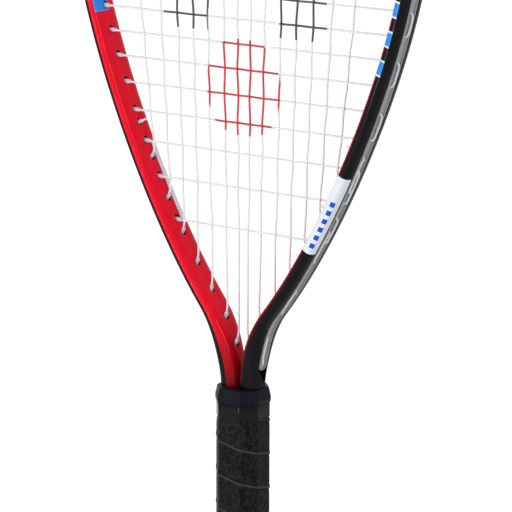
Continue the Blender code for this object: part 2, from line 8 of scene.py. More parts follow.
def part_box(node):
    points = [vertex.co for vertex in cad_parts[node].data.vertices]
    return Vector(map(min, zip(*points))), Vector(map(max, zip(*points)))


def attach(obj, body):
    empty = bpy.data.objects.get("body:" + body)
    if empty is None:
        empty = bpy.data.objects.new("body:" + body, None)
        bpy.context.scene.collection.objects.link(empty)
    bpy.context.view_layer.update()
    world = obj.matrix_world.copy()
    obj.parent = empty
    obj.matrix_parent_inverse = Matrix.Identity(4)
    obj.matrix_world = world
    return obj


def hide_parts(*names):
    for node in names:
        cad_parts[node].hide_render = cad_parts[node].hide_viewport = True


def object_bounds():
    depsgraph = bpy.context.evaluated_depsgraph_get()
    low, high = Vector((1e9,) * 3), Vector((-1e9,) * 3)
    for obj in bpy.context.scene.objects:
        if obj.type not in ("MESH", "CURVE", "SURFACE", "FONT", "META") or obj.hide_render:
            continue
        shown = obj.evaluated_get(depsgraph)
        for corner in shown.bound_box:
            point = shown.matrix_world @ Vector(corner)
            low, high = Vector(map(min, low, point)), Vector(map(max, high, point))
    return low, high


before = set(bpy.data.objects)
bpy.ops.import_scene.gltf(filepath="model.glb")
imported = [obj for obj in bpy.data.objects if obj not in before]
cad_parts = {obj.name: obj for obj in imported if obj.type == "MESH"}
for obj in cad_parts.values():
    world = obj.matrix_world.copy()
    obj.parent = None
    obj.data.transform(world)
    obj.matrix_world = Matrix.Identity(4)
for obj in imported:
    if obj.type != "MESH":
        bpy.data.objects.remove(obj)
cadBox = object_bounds()

mm = 0.001
deg = math.pi / 180
fitGap = 0.3 * mm  # between pieces that touch on the real racket
cornerEase = 0.3  # how far a rounded corner's middle point lies in, as a share of its radius
up = Vector((0, 0, 1))
print("frame loaded", len(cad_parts), "nodes")


# ordinary helpers for working in edit mode
def deselectAll():
    if bpy.context.object and bpy.context.object.mode != "OBJECT":
        bpy.ops.object.mode_set(mode="OBJECT")
    bpy.ops.object.select_all(action="DESELECT")


def makeActive(piece):
    deselectAll()
    piece.select_set(True)
    bpy.context.view_layer.objects.active = piece


def nameNewest(name):
    piece = bpy.context.active_object
    piece.name = name
    piece.data.name = name
    return piece


def applyModifier(piece, kind, **settings):
    makeActive(piece)
    modifier = piece.modifiers.new(kind.lower(), kind)
    for key, value in settings.items():
        setattr(modifier, key, value)
    bpy.ops.object.modifier_apply(modifier=modifier.name)


def closeAndTurnOut(piece, angle=40 * deg):
    makeActive(piece)
    bpy.ops.object.mode_set(mode="EDIT")
    bpy.ops.mesh.select_all(action="SELECT")
    bpy.ops.mesh.remove_doubles(threshold=0.002 * mm)
    bpy.ops.mesh.fill_holes(sides=0)
    bpy.ops.mesh.select_all(action="SELECT")
    bpy.ops.mesh.normals_make_consistent(inside=False)
    bpy.ops.object.mode_set(mode="OBJECT")
    bpy.ops.object.shade_smooth_by_angle(angle=angle)


# a grid whose rows become the rings of a sweep; its own UV map keeps (along, around)
def sweepRings(name, rings, angle=40 * deg):
    deselectAll()
    along, around = len(rings) - 1, len(rings[0])
    bpy.ops.mesh.primitive_grid_add(x_subdivisions=along, y_subdivisions=around, size=2)
    piece = nameNewest(name)
    for vertex in piece.data.vertices:
        row = round((vertex.co.x + 1) / 2 * along)
        column = round((vertex.co.y + 1) / 2 * around)
        vertex.co = rings[row][column % around]
    closeAndTurnOut(piece, angle)
    return piece


# a turned piece: a circle extruded and resized step by step along its axis
def turnProfile(name, profile, axis, start, sides=20, angle=40 * deg):
    deselectAll()
    firstHeight, firstRadius = profile[0]
    bpy.ops.mesh.primitive_circle_add(vertices=sides, radius=firstRadius, location=(0, 0, firstHeight))
    piece = nameNewest(name)
    bpy.ops.object.mode_set(mode="EDIT")
    for (height, radius), (nextHeight, nextRadius) in zip(profile, profile[1:]):
        rise = {"value": (0, 0, nextHeight - height)}
        bpy.ops.mesh.extrude_region_move(TRANSFORM_OT_translate=rise)
        share = nextRadius / radius
        bpy.ops.transform.resize(value=(share, share, 1))
    bpy.ops.object.mode_set(mode="OBJECT")
    turn = up.rotation_difference(axis).to_matrix().to_4x4()
    piece.data.transform(Matrix.Translation(start) @ turn @ piece.matrix_world)
    piece.matrix_world = Matrix.Identity(4)
    closeAndTurnOut(piece, angle)
    return piece


def joinPieces(pieces, name):
    deselectAll()
    for piece in pieces:
        piece.select_set(True)
    bpy.context.view_layer.objects.active = pieces[0]
    bpy.ops.object.join()
    pieces[0].name = name
    pieces[0].data.name = name
    return pieces[0]


def cutWith(piece, cutter, **settings):
    applyModifier(piece, "BOOLEAN", object=cutter, operation="DIFFERENCE", solver="EXACT", **settings)
    bpy.data.objects.remove(cutter)


def dress(piece, node, material=None):
    if material:
        piece.data.materials.clear()
        piece.data.materials.append(material)
    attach(piece, "root")
    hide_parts(node)


def smoothStep(value):
    value = min(max(value, 0.0), 1.0)
    return value * value * (3 - 2 * value)


def mix(low, high, share):
    return low + (high - low) * share


# the hoop's line and its tube, close to those of the solids
headWidth = 242.4 * mm
tubeWidth = 8.4 * mm
guardStand = 2.1 * mm  # the guard past the tube at the crown
collarOverlap = 6.8 * mm  # the collar past the foot of the throat
hoop = {
    "throatBase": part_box("grip_collar")[1].z - collarOverlap,
    "shaftBase": 6.0 * mm,
    "shaftWidth": 10.0 * mm,
    "shaftDepth": 16.0 * mm,
    "throatWidth": 12.5 * mm,
    "throatDepth": 15.0 * mm,
    "tubeWidth": tubeWidth,
    "tubeDepth": 20.4 * mm,
    "roundness": 2.8,
    "spacing": 0.3 * mm,
    "flare": 5.2 * mm,
    "widthBlend": (20.0 * mm, 52.0 * mm),
    "depthBlend": (8.0 * mm, 48.0 * mm),
    "throatHandle": 13.7 * mm,
    "bend": (22.2 * mm, 52.1 * mm),
    "bendLean": 38.2 * deg,
    "bendHandles": (20.8 * mm, 73.4 * mm),
    "widest": headWidth / 2 - tubeWidth / 2,
    "crownTop": cadBox[1][2] - tubeWidth / 2 - guardStand,
    "crownDepth": 94.5 * mm,
    "sideHandles": (65.0 * mm, 60.0 * mm),
    "crownHandle": 80.0 * mm,
    "channelHalf": 3.8 * mm,
    "channelDepth": 2.9 * mm,
    "channelFade": 12.0 * mm,
    "stripFoot": 17.9 * mm,
    "shaftSteps": 30,
    "flareSteps": 12,
    "lineSteps": 120,
}


def bezierPoints(start, startHandle, endHandle, end):
    points = []
    for step in range(1, hoop["lineSteps"] + 1):
        t = step / hoop["lineSteps"]
        s = 1 - t
        points.append(start * s**3 + startHandle * 3 * s * s * t + endHandle * 3 * s * t * t + end * t**3)
    return points


def makeHoopLine():
    base = hoop["throatBase"]
    shaftX = (hoop["shaftWidth"] + hoop["spacing"]) / 2
    throatX = (hoop["throatWidth"] + hoop["spacing"]) / 2
    rise = Vector((0, 1))
    throat = Vector((throatX, base))
    bend = Vector((hoop["bend"][0], base + hoop["bend"][1]))
    lean = Vector((math.sin(hoop["bendLean"]), math.cos(hoop["bendLean"])))
    widest = Vector((hoop["widest"], hoop["crownTop"] - hoop["crownDepth"]))
    crown = Vector((0, hoop["crownTop"]))
    below, above = hoop["bendHandles"]
    sideBelow, sideAbove = hoop["sideHandles"]
    shaftEnd = base - hoop["flare"]
    line = []
    for step in range(hoop["shaftSteps"]):
        line.append(Vector((shaftX, mix(hoop["shaftBase"], shaftEnd, step / hoop["shaftSteps"]))))
    for step in range(hoop["flareSteps"]):
        share = step / hoop["flareSteps"]
        line.append(Vector((mix(shaftX, throatX, smoothStep(share)), mix(shaftEnd, base, share))))
    line.append(throat)
    line += bezierPoints(throat, throat + rise * hoop["throatHandle"], bend - lean * below, bend)
    line += bezierPoints(bend, bend + lean * above, widest - rise * sideBelow, widest)
    line += bezierPoints(widest, widest + rise * sideAbove, crown + Vector((hoop["crownHandle"], 0)), crown)
    lengths = [0.0]
    for before, after in zip(line, line[1:]):
        lengths.append(lengths[-1] + (after - before).length)
    tangents = []
    for index in range(len(line)):
        before, after = line[max(index - 1, 0)], line[min(index + 1, len(line) - 1)]
        tangents.append((after - before).normalized())
    tangents[-1] = Vector((-1, 0))
    return line, lengths, tangents


hoopLine, hoopLengths, hoopTangents = makeHoopLine()
halfLength = hoopLengths[-1]
widestHeight = hoop["crownTop"] - hoop["crownDepth"]


def between(keys, value):
    low, high = 0, len(keys) - 1
    while high - low > 1:
        middle = (low + high) // 2
        if keys[middle] <= value:
            low = middle
        else:
            high = middle
    return low, (value - keys[low]) / (keys[high] - keys[low])


def lengthAtHeight(height):
    index, share = between([point.y for point in hoopLine], height)
    return mix(hoopLengths[index], hoopLengths[index + 1], share)


def lengthAtReach(reach):
    top = [(-point.x, length) for point, length in zip(hoopLine, hoopLengths) if point.y >= widestHeight]
    index, share = between([key for key, length in top], -reach)
    return mix(top[index][1], top[index + 1][1], share)


# a place on the hoop: its length runs up the right half, over the crown and down the left half
class Spot:
    def __init__(self, length):
        self.length = length
        side = 1 if length <= halfLength else -1
        along = length if side > 0 else 2 * halfLength - length
        index, share = between(hoopLengths, min(max(along, 0.0), halfLength))
        point = hoopLine[index].lerp(hoopLine[index + 1], share)
        tangent = hoopTangents[index].lerp(hoopTangents[index + 1], share).normalized()
        self.point = Vector((side * point.x, 0, point.y))
        self.outward = Vector((side * tangent.y, 0, -tangent.x))
        self.height = point.y
        rise = point.y - hoop["throatBase"]
        if rise < 0:
            share = smoothStep(1 + rise / hoop["flare"])
            self.halfWidth = mix(hoop["shaftWidth"], hoop["throatWidth"], share) / 2
            self.halfDepth = mix(hoop["shaftDepth"], hoop["throatDepth"], share) / 2
        else:
            width, depth = (smoothStep((rise - low) / (high - low))
                            for low, high in (hoop["widthBlend"], hoop["depthBlend"]))
            self.halfWidth = mix(hoop["throatWidth"], hoop["tubeWidth"], width) / 2
            self.halfDepth = mix(hoop["throatDepth"], hoop["tubeDepth"], depth) / 2
        self.sunk = smoothStep(1 + (rise - hoop["stripFoot"] - fitGap) / hoop["channelFade"])

    def at(self, out, across):
        return self.point + self.outward * out + Vector((0, across, 0))

    def surface(self, across):
        power = hoop["roundness"]
        return self.halfWidth * (1 - (abs(across) / self.halfDepth) ** power) ** (1 / power)

    def skin(self, angle):
        power = 2 / hoop["roundness"]
        c, s = math.cos(angle), math.sin(angle)
        return math.copysign(abs(c) ** power, c) * self.halfWidth, abs(s) ** power * self.halfDepth

    def lip(self):
        return self.surface(hoop["channelHalf"])

    def floor(self):
        return self.lip() - hoop["channelDepth"]

    # the channel's floor where it is only partly sunk, as it fades out below the strip
    def bed(self, across):
        return mix(self.surface(across), self.floor(), self.sunk)


def mirrored(half):
    other = [(out, across) for out, across in reversed(half[1:-1])]
    return [(out, -across) for out, across in half] + other


# frame tube: one smooth skin with rounded channel edges; even steps keep the paint's edge on one line
frameTube = {
    "ringStep": 3.2 * mm,
    "cornerRadius": 0.45 * mm,
    "mostCorner": 0.45,  # of the channel's depth, where it fades out
    "channelSteps": 7,
    "stepsToFront": 8,
    "stepsToInside": 11,
    "skinStart": 17 * deg,  # where the skin meets the channel's lip
    "holeRadius": 1.95 * mm,
    "holeShift": 0.5 * mm,
    "holeOverrun": (8 * mm, 6 * mm),
}


def tubeSection(spot):
    half = hoop["channelHalf"]
    lip, floor = spot.lip(), spot.bed(half)
    corner = min(frameTube["cornerRadius"], (lip - floor) * frameTube["mostCorner"] + 0.01 * mm)
    eased = corner * cornerEase
    section = [(spot.bed(0), 0.0), (spot.bed(half * 0.5), half * 0.5),
               (spot.bed(half - corner), half - corner), (floor + eased, half - eased),
               (floor + corner, half), (lip - corner, half), (lip - eased, half + eased)]
    start = math.asin(min(((half + corner) / spot.halfDepth) ** (hoop["roundness"] / 2), 1.0))
    front = 90 * deg
    for step in range(frameTube["stepsToFront"]):
        section.append(spot.skin(mix(start, front, step / frameTube["stepsToFront"])))
    for step in range(frameTube["stepsToInside"] + 1):
        section.append(spot.skin(mix(front, 180 * deg, step / frameTube["stepsToInside"])))
    return mirrored(section)


def makeFrameTube(holes):
    steps = int(2 * halfLength / frameTube["ringStep"])
    spots = [Spot(2 * halfLength * step / steps) for step in range(steps + 1)]
    tube = sweepRings("frameTube", [[spot.at(*pair) for pair in tubeSection(spot)] for spot in spots])
    cutters = []
    outside, inside = frameTube["holeOverrun"]
    for hole in holes:
        profile = [(-outside, frameTube["holeRadius"]), (hole.reach + inside, frameTube["holeRadius"])]
        place = hole.spot.point - hole.aside * frameTube["holeShift"]
        cutters.append(turnProfile("holeCutter", profile, hole.way, place))
    cutWith(tube, joinPieces(cutters, "holeCutters"), use_self=True)
    applyModifier(tube, "WEIGHTED_NORMAL", keep_sharp=True)
    return tube


# string pattern: holes, crosses and mains, close to those of the solids
pattern = {
    "mainsPerSide": 7,
    "crossCount": 18,
    "firstCross": 97.6 * mm,
    "lastCrossMargin": 25.8 * mm,
    "spread": (0.8, 0.3, 0.62),
    "crownFan": (0.69, 0.20),
    "mainFeet": [height * mm for height in (24.6, 40.6, 55.4, 70.4, 87.4, 106.6, 129.8)],
    "stringRadius": 0.625 * mm,
    "weave": 0.66 * mm,
    "mainStand": 2.3 * mm,
    "crossStand": 3.4 * mm,
    "mainLeans": (42 * deg, 18 * deg),
    "crossLean": 30 * deg,
    "straightLean": 3 * deg,  # below this a hole counts as square to the tube
    "loopOffset": 1.6 * mm,
    "loopRun": 2.6 * mm,
    "loopStep": 4 * mm,
    "knotReach": (3.0 * mm, 1.5 * mm, 0.3 * mm),
    "bendRadius": 5 * mm,
    "bendSteps": 4,
    "mostBend": 0.45,  # of the shorter leg
    "mainTieAfterCross": 3,
    "lowTieHeight": 114.2 * mm,
    "topTie": 0.53,
}


# how far out a string lies in its strip's groove
def stringLie(spot):
    return spot.floor() + 2 * fitGap + grommets["floor"] + pattern["stringRadius"]


class StringHole:
    def __init__(self, length, aim, mostLean, stand):
        self.spot = Spot(length)
        inward = -self.spot.outward
        lean = inward.angle(aim)
        if lean > mostLean:
            aside = aim - inward * aim.dot(inward)
            aim = inward * math.cos(mostLean) + aside.normalized() * math.sin(mostLean)
            lean = mostLean
        self.way = aim.normalized()
        aside = self.way - inward * self.way.dot(inward)
        self.aside = aside.normalized() if lean > pattern["straightLean"] else Vector()
        self.slant = 1 / math.cos(lean)
        self.reach = self.spot.halfWidth * self.slant + stand

    def along(self, distance):
        return self.spot.point + self.way * distance

    def tip(self):
        return self.along(self.reach + pattern["stringRadius"])

    def outside(self):
        return self.along(-stringLie(self.spot) * self.slant)


def onLeft(length):
    return 2 * halfLength - length


def crossHeights():
    count = pattern["crossCount"]
    atFoot, atCrown, decay = pattern["spread"]
    gaps = [1 + atFoot * decay**k + atCrown * decay ** (count - 2 - k) for k in range(count - 1)]
    first = hoop["throatBase"] + pattern["firstCross"]
    unit = (cadBox[1][2] - pattern["lastCrossMargin"] - first) / sum(gaps)
    heights = [first]
    for gap in gaps:
        heights.append(heights[-1] + gap * unit)
    return heights


def makeMain(low, high, lean):
    run = (Spot(high).point - Spot(low).point).normalized()
    foot = StringHole(low, run, lean, pattern["mainStand"])
    return foot, StringHole(high, -run, pattern["crossLean"], pattern["crossStand"])


# from the middle outwards, a main to the left and one to the right
def makeMains():
    mains = []
    count = pattern["mainsPerSide"]
    fan, flare = pattern["crownFan"]
    for order in range(count):
        place = (order + 0.5) / count
        lean = mix(*pattern["mainLeans"], order / (count - 1))
        low = lengthAtHeight(hoop["throatBase"] + pattern["mainFeet"][order])
        high = lengthAtReach(hoop["widest"] * place * (fan + flare * place**5))
        mains = [makeMain(onLeft(low), onLeft(high), lean)] + mains + [makeMain(low, high, lean)]
    return mains


def makeCrosses():
    crosses = []
    lean, stand = pattern["crossLean"], pattern["crossStand"]
    for height in crossHeights():
        length = lengthAtHeight(height)
        ends = (onLeft(length), 1), (length, -1)
        crosses.append([StringHole(end, Vector((aim, 0, 0)), lean, stand) for end, aim in ends])
    return crosses


def lengthAfterCross(crosses, number):
    return mix(crosses[number - 1][1].spot.length, crosses[number][1].spot.length, 0.5)


def makeTies(crosses):
    mainLength = lengthAfterCross(crosses, pattern["mainTieAfterCross"])
    lowLength = lengthAtHeight(hoop["throatBase"] + pattern["lowTieHeight"])
    topLength = lengthAtReach(pattern["topTie"] * hoop["widest"])
    places = {"mainLeft": onLeft(mainLength), "mainRight": mainLength,
              "crossLow": lowLength, "crossTop": topLength}
    stand = pattern["mainStand"]
    return {name: StringHole(length, -Spot(length).outward, 0.0, stand) for name, length in places.items()}


def weaveRuns(mains, crosses):
    mainSpots = [[] for main in mains]
    crossSpots = [[] for cross in crosses]
    clear = 2 * pattern["stringRadius"]
    for column, (low, high) in enumerate(mains):
        for row, (left, right) in enumerate(crosses):
            foot, top, start, end = low.tip(), high.tip(), left.tip(), right.tip()
            height = mix(start.z, end.z, 0.5)
            if not foot.z + clear < height < top.z - clear:
                continue
            spot = foot.lerp(top, (height - foot.z) / (top.z - foot.z))
            if not start.x + clear < spot.x < end.x - clear:
                continue
            over = 1 if (column + row) % 2 == 0 else -1
            mainSpots[column].append(spot + Vector((0, over * pattern["weave"], 0)))
            crossSpots[row].append(spot - Vector((0, over * pattern["weave"], 0)))
    return mainSpots, crossSpots


# the outside loop of a string from one hole to the next
def outerLoop(first, second, offset):
    start, end = first.spot.length, second.spot.length
    toward = 1 if end > start else -1
    low, high = min(start, end) + pattern["loopRun"], max(start, end) - pattern["loopRun"]
    count = max(int((high - low) / pattern["loopStep"]), 1)
    lengths = [mix(low, high, step / count) for step in range(count + 1)][::toward]
    middle = [spot.at(stringLie(spot), offset) for spot in map(Spot, lengths)]
    return [first.outside()] + middle + [second.outside()]


def knotPoints(tie):
    return [tie.along(tie.reach + reach) for reach in pattern["knotReach"]] + [tie.along(0)]


def stringPoints(runs, spots, offset, firstTie, lastTie):
    points = knotPoints(firstTie) + outerLoop(firstTie, runs[0][0], offset)
    for order, (start, end) in enumerate(runs):
        if order:
            points += outerLoop(runs[order - 1][1], start, offset)
        points += [start.tip()] + spots[order] + [end.tip()]
    return points + outerLoop(runs[-1][1], lastTie, offset) + knotPoints(lastTie)[::-1]


# each corner of the path becomes a short curve
def roundedPath(points):
    radius, steps, most = pattern["bendRadius"], pattern["bendSteps"], pattern["mostBend"]
    path = [points[0]]
    for before, corner, after in zip(points, points[1:], points[2:]):
        toBefore, toAfter = before - corner, after - corner
        entry = corner + toBefore.normalized() * min(radius, toBefore.length * most)
        leave = corner + toAfter.normalized() * min(radius, toAfter.length * most)
        for step in range(steps + 1):
            t = step / steps
            path.append(entry * (1 - t) ** 2 + corner * 2 * t * (1 - t) + leave * t**2)
    return path + [points[-1]]


def makeString(name, points):
    path = roundedPath(points)
    deselectAll()
    bpy.ops.curve.primitive_nurbs_path_add()
    piece = nameNewest(name)
    curve = piece.data
    curve.splines.clear()
    curve.bevel_depth = pattern["stringRadius"]
    curve.bevel_resolution = 3
    curve.use_fill_caps = True
    curve.dimensions = "3D"
    spline = curve.splines.new("POLY")
    spline.points.add(len(path) - 1)
    for target, point in zip(spline.points, path):
        target.co = (*point, 1.0)
    makeActive(piece)
    bpy.ops.object.convert(target="MESH")
    piece = bpy.context.active_object
    closeAndTurnOut(piece, 60 * deg)
    return piece


# a string goes to and fro: every other run is turned round
def toAndFro(runs, spots, turn):
    turns = [turn * (-1) ** order for order in range(len(runs))]
    return [[line[::turn] for line, turn in zip(lines, turns)] for lines in (runs, spots)]


def makeStrings(mains, crosses, ties):
    mainSpots, crossSpots = weaveRuns(mains, crosses)
    mainLines = toAndFro(mains, mainSpots, 1)
    crossLines = toAndFro(crosses, crossSpots, -1)
    offset = pattern["loopOffset"]
    mainPath = stringPoints(*mainLines, -offset, ties["mainLeft"], ties["mainRight"])
    crossPath = stringPoints(*crossLines, offset, ties["crossLow"], ties["crossTop"])
    return makeString("mainString", mainPath), makeString("crossString", crossPath)


# grommet strips and bumper guard
grommets = {
    "stripHalf": 3.5 * mm,
    "grooveHalf": 2.7 * mm,
    "floor": 1.4 * mm,
    "rim": 1.15 * mm,
    "edge": 0.3 * mm,
    "guardEdge": 0.5 * mm,
    "guardShoulder": (0.25 * mm, 5.0 * mm),
    "footRound": 3.4 * mm,
    "leastFoot": 0.08,  # of the strip's width, at its very end
    "ringStep": 3.0 * mm,
    "lastStripCross": 14,
    "guardWall": 1.8 * mm,
    "wingReach": 7.5 * mm,
    "wingWall": 1.3 * mm,
    "barrelRadius": 1.35 * mm,
    "tipRadius": 0.85 * mm,
    "boreRadius": 0.70 * mm,
    "boreDepth": 1.5 * mm,
    "barrelTaper": [(2.2 * mm, 0.97), (0.9 * mm, 0.86)],  # before the tip, and the share of the radius
    "barrelSides": 18,
}


def stripSection(spot, squeeze=1.0):
    low = spot.bed(hoop["channelHalf"]) + fitGap
    top = low + grommets["floor"] + grommets["rim"]
    half, groove = grommets["stripHalf"] * squeeze, grommets["grooveHalf"] * squeeze
    edge = grommets["edge"] * squeeze
    inner = low + grommets["floor"]
    eased = edge * cornerEase
    section = [(inner, 0.0), (inner, groove - edge), (inner + eased, groove - eased),
               (inner + edge, groove), (top - edge, groove), (top, groove + edge), (top, half - edge),
               (top - eased, half - eased), (top - edge, half), (low + edge, half),
               (low, half - edge), (low, 0.0)]
    return mirrored(section)


def guardSection(spot):
    low = spot.floor() + fitGap
    inner = low + grommets["floor"]
    half, groove, wing = grommets["stripHalf"], grommets["grooveHalf"], grommets["wingReach"]
    wall, edge = grommets["wingWall"], grommets["guardEdge"]
    eased = edge * cornerEase
    top = spot.halfWidth + fitGap + grommets["guardWall"]
    rise = spot.surface(wing) + fitGap
    drop, shoulder = grommets["guardShoulder"]
    section = [(inner, 0.0), (inner, groove - edge), (inner + eased, groove - eased),
               (inner + edge, groove), (top - edge, groove), (top - eased, groove + eased),
               (top, groove + edge), (top, hoop["channelHalf"] + edge), (top - drop, shoulder),
               (rise + wall, wing - edge), (rise + wall * 0.7, wing), (rise + wall * 0.25, wing),
               (rise, wing - 0.2 * mm), (spot.surface(half) + fitGap, half), (low + edge * 0.5, half),
               (low, half - edge * 0.5), (low, 0.0)]
    return mirrored(section)


def makeBarrels(holes):
    barrels = []
    radius, tip, bore = grommets["barrelRadius"], grommets["tipRadius"], grommets["boreRadius"]
    for hole in holes:
        base = -(hole.spot.floor() + fitGap + grommets["floor"] * 0.5) * hole.slant
        end = hole.reach
        profile = [(base, radius)]
        profile += [(end - before, radius * share) for before, share in grommets["barrelTaper"]]
        profile += [(end - 0.25 * mm, mix(radius, tip, 0.7)), (end, tip), (end + 0.02 * mm, bore),
                    (end - grommets["boreDepth"], bore)]
        barrels.append(turnProfile("barrel", profile, hole.way, hole.spot.point, grommets["barrelSides"]))
    return barrels


# the end at the foot is round: a quarter circle in six steps
def makeStrip(name, low, high, section, holes, finishes, footEnd=None):
    count = int((high - low) / grommets["ringStep"])
    lengths = [mix(low, high, step / count) for step in range(count + 1)]
    reach = grommets["footRound"]
    if footEnd is not None:
        lengths = [length for length in lengths if abs(length - footEnd) > reach]
        turn = 1 if footEnd == low else -1
        rounded = [footEnd + turn * reach * (1 - math.cos(step * 15 * deg)) for step in range(7)]
        rounded[0] = footEnd + turn * 0.02 * mm
        lengths = sorted(lengths + rounded)
    rings = []
    for length in lengths:
        spot = Spot(length)
        if footEnd is None:
            rings.append([spot.at(*pair) for pair in section(spot)])
        else:
            share = min(abs(length - footEnd) / reach, 1.0)
            squeeze = max(math.sqrt(1 - (1 - share) ** 2), grommets["leastFoot"])
            rings.append([spot.at(*pair) for pair in section(spot, squeeze)])
    strip = sweepRings(name, rings)
    barrels = makeBarrels([hole for hole in holes if low < hole.spot.length < high])
    for piece, finish in [(strip, finishes[0])] + [(barrel, finishes[1]) for barrel in barrels]:
        piece.data.materials.append(finish)
    return joinPieces([strip] + barrels, name)


def makeStrips(holes, crosses, stripFinishes, guardFinishes):
    foot = lengthAtHeight(hoop["throatBase"] + hoop["stripFoot"])
    join = lengthAfterCross(crosses, grommets["lastStripCross"])
    gap = fitGap / 2
    ends = foot + gap, join - gap
    right = makeStrip("rightStrip", *ends, stripSection, holes, stripFinishes, ends[0])
    guard = makeStrip("crownGuard", join + gap, onLeft(join) - gap, guardSection, holes, guardFinishes)
    ends = onLeft(join) + gap, onLeft(foot) - gap
    left = makeStrip("leftStrip", *ends, stripSection, holes, stripFinishes, ends[1])
    return left, right, guard


# handle: an eight-sided outline with soft corners
handle = {
    "halfX": 14.5 * mm,
    "halfY": 13.35 * mm,
    "bevel": 7.0 * mm,
    "softness": 60,
    "cornerSpots": [spot * deg for spot in (-6.0, -3.0, -1.0, 1.0, 3.0, 6.0, 14.0)],
    "smooth": 35 * deg,
    "capHeight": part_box("butt_cap")[1].z,
    "capFlare": 3.1 * mm,
    "collarBase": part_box("grip_collar")[0].z + 1.2 * mm,  # its lower edge in sight
    "collarHeight": 8.9 * mm,
    "tapeBase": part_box("finishing_tape")[0].z,
    "tapeThickness": 0.5 * mm,
    "tapeProud": 0.35 * mm,
}


def handleReach(turn, swell):
    sides = []
    halfX, halfY = handle["halfX"] + swell, handle["halfY"] + swell
    bevel = handle["bevel"] + swell * (2 - math.sqrt(2))
    slanted = (halfX + halfY - bevel) / math.sqrt(2)
    for k in range(8):
        distance = (halfX, slanted, halfY, slanted)[k % 4]
        facing = math.cos(turn - k * 45 * deg)
        if facing > 0:
            sides.append((facing / distance) ** handle["softness"])
    return sum(sides) ** (-1 / handle["softness"])


def handlePoint(turn, swell, height):
    reach = handleReach(turn, swell)
    return Vector((reach * math.cos(turn), reach * math.sin(turn), height))


# turns round the handle, closer together at its eight corners
def makeTurns():
    halfX, halfY, bevel = handle["halfX"], handle["halfY"], handle["bevel"]
    first = math.atan2(halfY - bevel, halfX)
    second = math.atan2(halfY, halfX - bevel)
    corners = [first, second, 180 * deg - second, 180 * deg - first]
    corners += [corner + 180 * deg for corner in corners]
    spots = handle["cornerSpots"]
    return sorted((corner + spot) % (360 * deg) for corner in corners for spot in spots)


handleTurns = makeTurns()


# ribbon; its shape goes across it: share of its width, distance out from the handle's outline in mm
wrap = {
    "pitch": 20.3 * mm,
    "seam": 0.08 * mm,
    "start": 202.5 * deg,
    "leastWidth": 2.0 * mm,
    "tuck": (1.2 * mm, 1.4 * mm),  # starts below the tape, and takes this rise
    "shape": [(0.0, -1.5), (0.0, 0.0), (0.01, 0.3), (0.03, 0.5), (0.055, 0.52), (0.1, 0.3), (0.16, 0.18),
              (0.35, 0.2), (0.6, 0.2), (0.85, 0.16), (0.95, 0.1), (0.99, 0.0), (1.0, -0.25), (1.0, -1.5)],
}


def makeWrap():
    low, high = handle["capHeight"] + fitGap, handle["collarBase"] - fitGap
    pitch, start = wrap["pitch"], wrap["start"]
    turns = (high - low) / pitch + 1
    under = handle["tapeProud"] - handle["tapeThickness"] - fitGap
    below, tuckRise = wrap["tuck"]
    shares = sorted(((start - turn) % (360 * deg)) / (360 * deg) for turn in handleTurns)
    rings = []
    for progress in [whole + share for whole in range(int(turns) + 1) for share in shares]:
        rise = low + pitch * progress
        bottom = min(max(rise - pitch, low), high)
        top = min(rise - wrap["seam"], high)
        if top - bottom < wrap["leastWidth"] or progress > turns:
            continue
        turn = start - 2 * math.pi * progress
        ring = []
        for share, swell in wrap["shape"]:
            height = mix(bottom, top, share)
            tucked = smoothStep((height - handle["tapeBase"] + below) / tuckRise)
            swell = mix(swell * mm, min(swell * mm, under), tucked)
            ring.append(handlePoint(turn, swell, height))
        rings.append(ring)
    return sweepRings("gripRibbon", rings, handle["smooth"])


# tape: it laps over itself, and its lower edge wanders a little
tapeBand = {
    "lap": 0.14 * mm,
    "lapTurn": 75 * deg,
    "skin": 0.2 * mm,
    "bead": 0.22 * mm,  # both edges are a little thicker
    "inside": -0.15 * mm,
    "rise": 0.3 * mm,
    "waves": [(3, 0, 0.16 * mm), (5, 1, 0.12 * mm)],  # per turn, where they begin, height
    "edges": (0.12 * mm, 0.15 * mm),
}


def makeTape():
    rings = []
    high = handle["collarBase"] - fitGap
    skin, bead, inside = tapeBand["skin"], tapeBand["bead"], tapeBand["inside"]
    lowEdge, highEdge = tapeBand["edges"]
    for turn in handleTurns + handleTurns[:1]:
        lap = tapeBand["lap"] * smoothStep((math.cos(turn + tapeBand["lapTurn"]) - 0.35) * 12)
        wander = sum(depth * math.sin(count * turn + start) for count, start, depth in tapeBand["waves"])
        low = handle["tapeBase"] + wander + tapeBand["rise"]
        middle = mix(low, high, 0.5)
        outer = [(low, lowEdge), (low + lowEdge, bead), (middle, skin), (high - highEdge, bead),
                 (high, highEdge)]
        profile = [(low, inside)] + [(height, swell + lap) for height, swell in outer]
        profile += [(high, inside), (middle, inside)]
        rings.append([handlePoint(turn, swell, height) for height, swell in profile])
    return sweepRings("gripTape", rings, handle["smooth"])


# the collar: (height, swell) in mm up its outside, a straight skirt under a long slope
collar = {
    "holeX": 12.75 * mm,
    "holeY": 7.9 * mm,
    "holeRoundness": 3.4,
    "holeEdge": (0.25 * mm, 0.4 * mm),  # out and down
    "steps": [(0.0, 0.35), (0.15, 0.55), (0.5, 0.72), (2.4, 0.78), (4.0, 0.75), (4.35, 0.55), (6.4, 0.1),
              (8.2, -0.3), (8.6, -0.45), (8.8, -0.65), (8.9, -0.85)],
}


